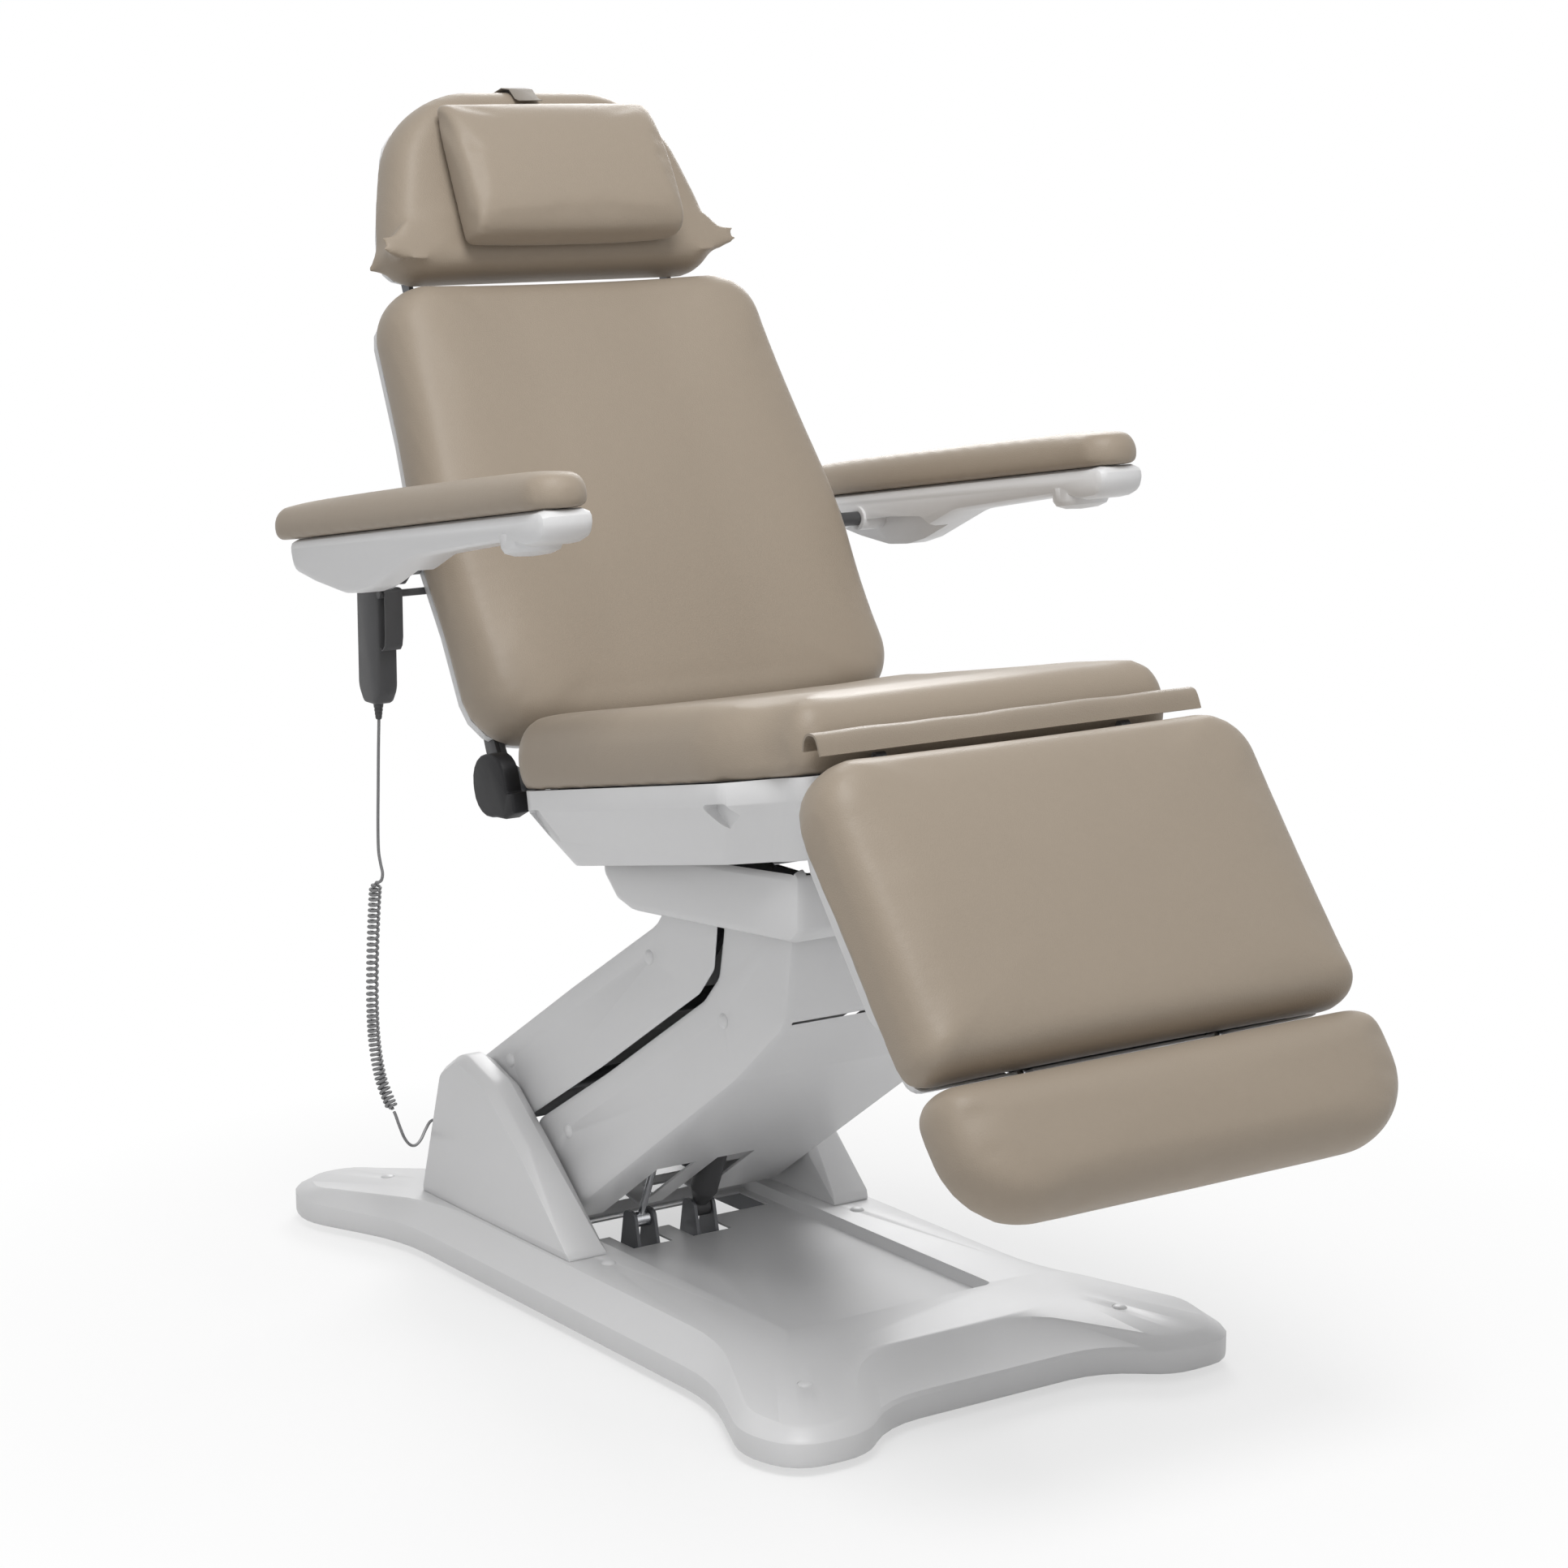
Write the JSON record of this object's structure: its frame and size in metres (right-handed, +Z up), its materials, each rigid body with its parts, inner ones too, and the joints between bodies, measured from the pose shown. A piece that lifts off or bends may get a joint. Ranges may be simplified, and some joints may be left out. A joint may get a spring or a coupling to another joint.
{
  "type": "powered beauty treatment chair",
  "caption": "Padded treatment chair on a parallelogram lift, with tilting seat, reclining back, head, leg and foot sections, fold-up armrests and a corded handset.",
  "frame": {"origin": "middle of the chair's length and width at floor level", "axes": "+Z up, -Y towards the foot end, +Y towards the head, -X the sitter's right, where the handset hangs"},
  "size_m": [0.95, 1.6337, 1.6193],
  "materials": {
    "white_plastic": "satin",
    "vinyl": "satin",
    "frame_metal": "satin",
    "light_frame": "satin",
    "polished_rod": "polished",
    "black_plastic": "satin",
    "grey_plastic": "satin",
    "key_rubber": "matte",
    "cord_jacket": "satin"
  },
  "bodies": {
    "base": {"base_frame": "frame_metal", "base_cover": "white_plastic", "tower_right": "white_plastic", "tower_left": "white_plastic", "levelling_feet": "black_plastic", "plinth_plugs": "white_plastic", "mains_inlet": "black_plastic", "cord_gland": "black_plastic", "cord_tail": "cord_jacket"},
    "lift_arm": {"lift_arm_frame": "frame_metal", "lift_arm_cover": "white_plastic", "lift_arm_plugs": "white_plastic"},
    "upper_link": {"upper_link_frame": "frame_metal", "upper_link_cover": "white_plastic", "upper_link_plugs": "white_plastic"},
    "carriage": {"carriage_frame": "frame_metal", "carriage_cover": "white_plastic"},
    "actuator": {"lift_actuator": "grey_plastic"},
    "actuator_rod": {"lift_actuator_rod": "polished_rod"},
    "strut_rod": {"gas_strut_rod": "polished_rod"},
    "strut_tube": {"gas_strut_tube": "black_plastic"},
    "seat": {"seat_frame": "light_frame", "seat_tray": "white_plastic", "seat_cushion": "vinyl", "knee_flap": "vinyl", "hinge_housings": "black_plastic"},
    "backrest": {"back_frame": "light_frame", "back_shell": "white_plastic", "back_cushion": "vinyl", "hinge_plates": "grey_plastic", "armrest_brackets": "grey_plastic", "handset_hook": "grey_plastic", "handset_body": "black_plastic", "handset_clip": "grey_plastic", "strain_relief": "black_plastic", "cord_lead": "cord_jacket", "cord_coil": "cord_jacket"},
    "headrest": {"head_bracket": "light_frame", "head_shell": "white_plastic", "head_cushion": "vinyl", "pillow": "vinyl", "pillow_strap": "vinyl"},
    "leg_section": {"leg_frame": "light_frame", "leg_shell": "white_plastic", "leg_cushion": "vinyl"},
    "foot_section": {"foot_slide": "polished_rod", "foot_shell": "white_plastic", "foot_cushion": "vinyl"},
    "armrest_right": {"armrest_casing_right": "white_plastic", "armrest_pad_right": "vinyl"},
    "armrest_left": {"armrest_casing_left": "white_plastic", "armrest_pad_left": "vinyl"},
    "key_1": {"handset_key_1": "key_rubber"},
    "key_2": {"handset_key_2": "key_rubber"},
    "key_3": {"handset_key_3": "key_rubber"},
    "key_4": {"handset_key_4": "key_rubber"}
  },
  "joints": [
    {"name": "lift", "type": "hinge", "parent": "base", "child": "lift_arm", "pos_m": [0, 0.36, 0.15], "axis": [-1, 0, 0], "range_deg": [-20, 6], "deforming": ["cord_lead", "cord_coil"]},
    {"name": "link_swing", "type": "hinge", "parent": "base", "child": "upper_link", "pos_m": [0, 0.47, 0.235], "axis": [-1, 0, 0], "range_deg": [-20, 6]},
    {"name": "carriage_pivot", "type": "hinge", "parent": "lift_arm", "child": "carriage", "pos_m": [0, -0.12, 0.59], "axis": [-1, 0, 0], "range_deg": [-6, 20]},
    {"name": "actuator_swing", "type": "hinge", "parent": "base", "child": "actuator", "pos_m": [0, 0.27, 0.085], "axis": [-1, 0, 0], "range_deg": [-19.5, 6]},
    {"name": "actuator_stroke", "type": "slide", "parent": "actuator", "child": "actuator_rod", "axis": [0, -0.3999, 0.9165], "range_m": [-0.03865, 0.01165]},
    {"name": "strut_swing", "type": "hinge", "parent": "base", "child": "strut_rod", "pos_m": [0, 0.27, 0.085], "axis": [-1, 0, 0], "range_deg": [-19.5, 6]},
    {"name": "strut_stroke", "type": "slide", "parent": "strut_rod", "child": "strut_tube", "axis": [0, -0.3999, 0.9165], "range_m": [-0.03865, 0.01165]},
    {"name": "seat_tilt", "type": "hinge", "parent": "carriage", "child": "seat", "pos_m": [0, 0.13, 0.672], "axis": [-1, 0, 0], "range_deg": [-10.3, 3], "deforming": ["cord_lead", "cord_coil"]},
    {"name": "recline", "type": "hinge", "parent": "seat", "child": "backrest", "pos_m": [0, 0.262, 0.722], "axis": [-1, 0, 0], "range_deg": [0, 68], "deforming": ["cord_lead", "cord_coil"]},
    {"name": "head_tilt", "type": "hinge", "parent": "backrest", "child": "headrest", "pos_m": [0, 0.645, 1.333], "axis": [-1, 0, 0], "range_deg": [-2, 45]},
    {"name": "leg_raise", "type": "hinge", "parent": "seat", "child": "leg_section", "pos_m": [0, -0.416, 0.85], "axis": [-1, 0, 0], "range_deg": [0, 62], "deforming": ["knee_flap"]},
    {"name": "foot_extend", "type": "slide", "parent": "leg_section", "child": "foot_section", "axis": [0, -0.6101, -0.7923], "range_m": [0, 0.15]},
    {"name": "armrest_fold_right", "type": "hinge", "parent": "backrest", "child": "armrest_right", "pos_m": [0, 0.42, 1.01], "axis": [-1, 0, 0], "range_deg": [-60, 50]},
    {"name": "armrest_fold_left", "type": "hinge", "parent": "backrest", "child": "armrest_left", "pos_m": [0, 0.42, 1.01], "axis": [-1, 0, 0], "range_deg": [-60, 50]},
    {"name": "key_rock_1", "type": "hinge", "parent": "backrest", "child": "key_1", "pos_m": [-0.355, 0.476, 0.846], "axis": [0, 1, 0], "range_deg": [-4, 4], "stiffness_Nm_per_rad": 0.05},
    {"name": "key_rock_2", "type": "hinge", "parent": "backrest", "child": "key_2", "pos_m": [-0.355, 0.476, 0.876], "axis": [0, 1, 0], "range_deg": [-4, 4], "stiffness_Nm_per_rad": 0.05},
    {"name": "key_rock_3", "type": "hinge", "parent": "backrest", "child": "key_3", "pos_m": [-0.355, 0.476, 0.906], "axis": [0, 1, 0], "range_deg": [-4, 4], "stiffness_Nm_per_rad": 0.05},
    {"name": "key_rock_4", "type": "hinge", "parent": "backrest", "child": "key_4", "pos_m": [-0.355, 0.476, 0.936], "axis": [0, 1, 0], "range_deg": [-4, 4], "stiffness_Nm_per_rad": 0.05}
  ],
  "couplings": [
    {"joint": "link_swing", "follows": "lift", "ratio": 1},
    {"joint": "carriage_pivot", "follows": "lift", "ratio": -1},
    {"joint": "actuator_swing", "follows": "lift", "ratio": 0.9625},
    {"joint": "actuator_stroke", "follows": "lift", "m_per_rad": 0.1105},
    {"joint": "strut_swing", "follows": "lift", "ratio": 0.9625},
    {"joint": "strut_stroke", "follows": "lift", "m_per_rad": 0.1105}
  ]
}
